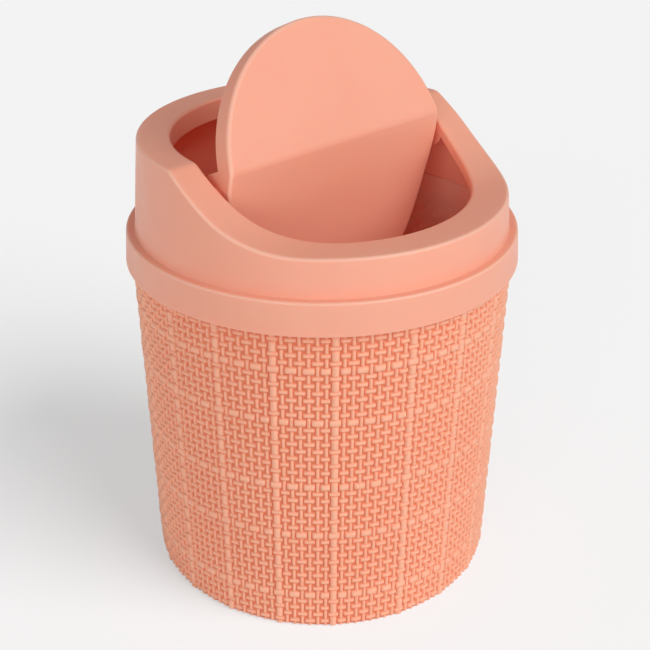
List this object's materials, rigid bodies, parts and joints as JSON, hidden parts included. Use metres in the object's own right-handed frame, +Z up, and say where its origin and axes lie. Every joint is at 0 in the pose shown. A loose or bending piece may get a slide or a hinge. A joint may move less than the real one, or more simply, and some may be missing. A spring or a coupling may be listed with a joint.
{
  "type": "desktop trash can",
  "caption": "Small round desktop bin with a basket-weave bucket, a lift-off collar with a sloping top, and a bent round flap that swings open in the collar's mouth.",
  "frame": {"origin": "under the middle of the base, on the surface that the bin stands on", "axes": "+Z up, -Y towards the low front of the sloping top, X along the flap's pivot axis"},
  "size_m": [0.1314, 0.1314, 0.1896],
  "materials": {
    "bucket_plastic": "satin coral polypropylene with a moulded basket weave",
    "collar_plastic": "satin coral polypropylene, finely grained",
    "flap_plastic": "satin coral polypropylene, finely grained"
  },
  "bodies": {
    "bin": {"bucket": "bucket_plastic"},
    "collar": {"collar": "collar_plastic"},
    "flap": {"swing_flap": "flap_plastic"}
  },
  "joints": [
    {"name": "collar_lift", "type": "slide", "parent": "bin", "child": "collar", "axis": [0, 0, 1], "range_m": [0, 0.03]},
    {"name": "flap_swing", "type": "hinge", "parent": "collar", "child": "flap", "pos_m": [0, -0.002, 0.1442], "axis": [1, 0, 0], "range_deg": [-65, 0]}
  ]
}
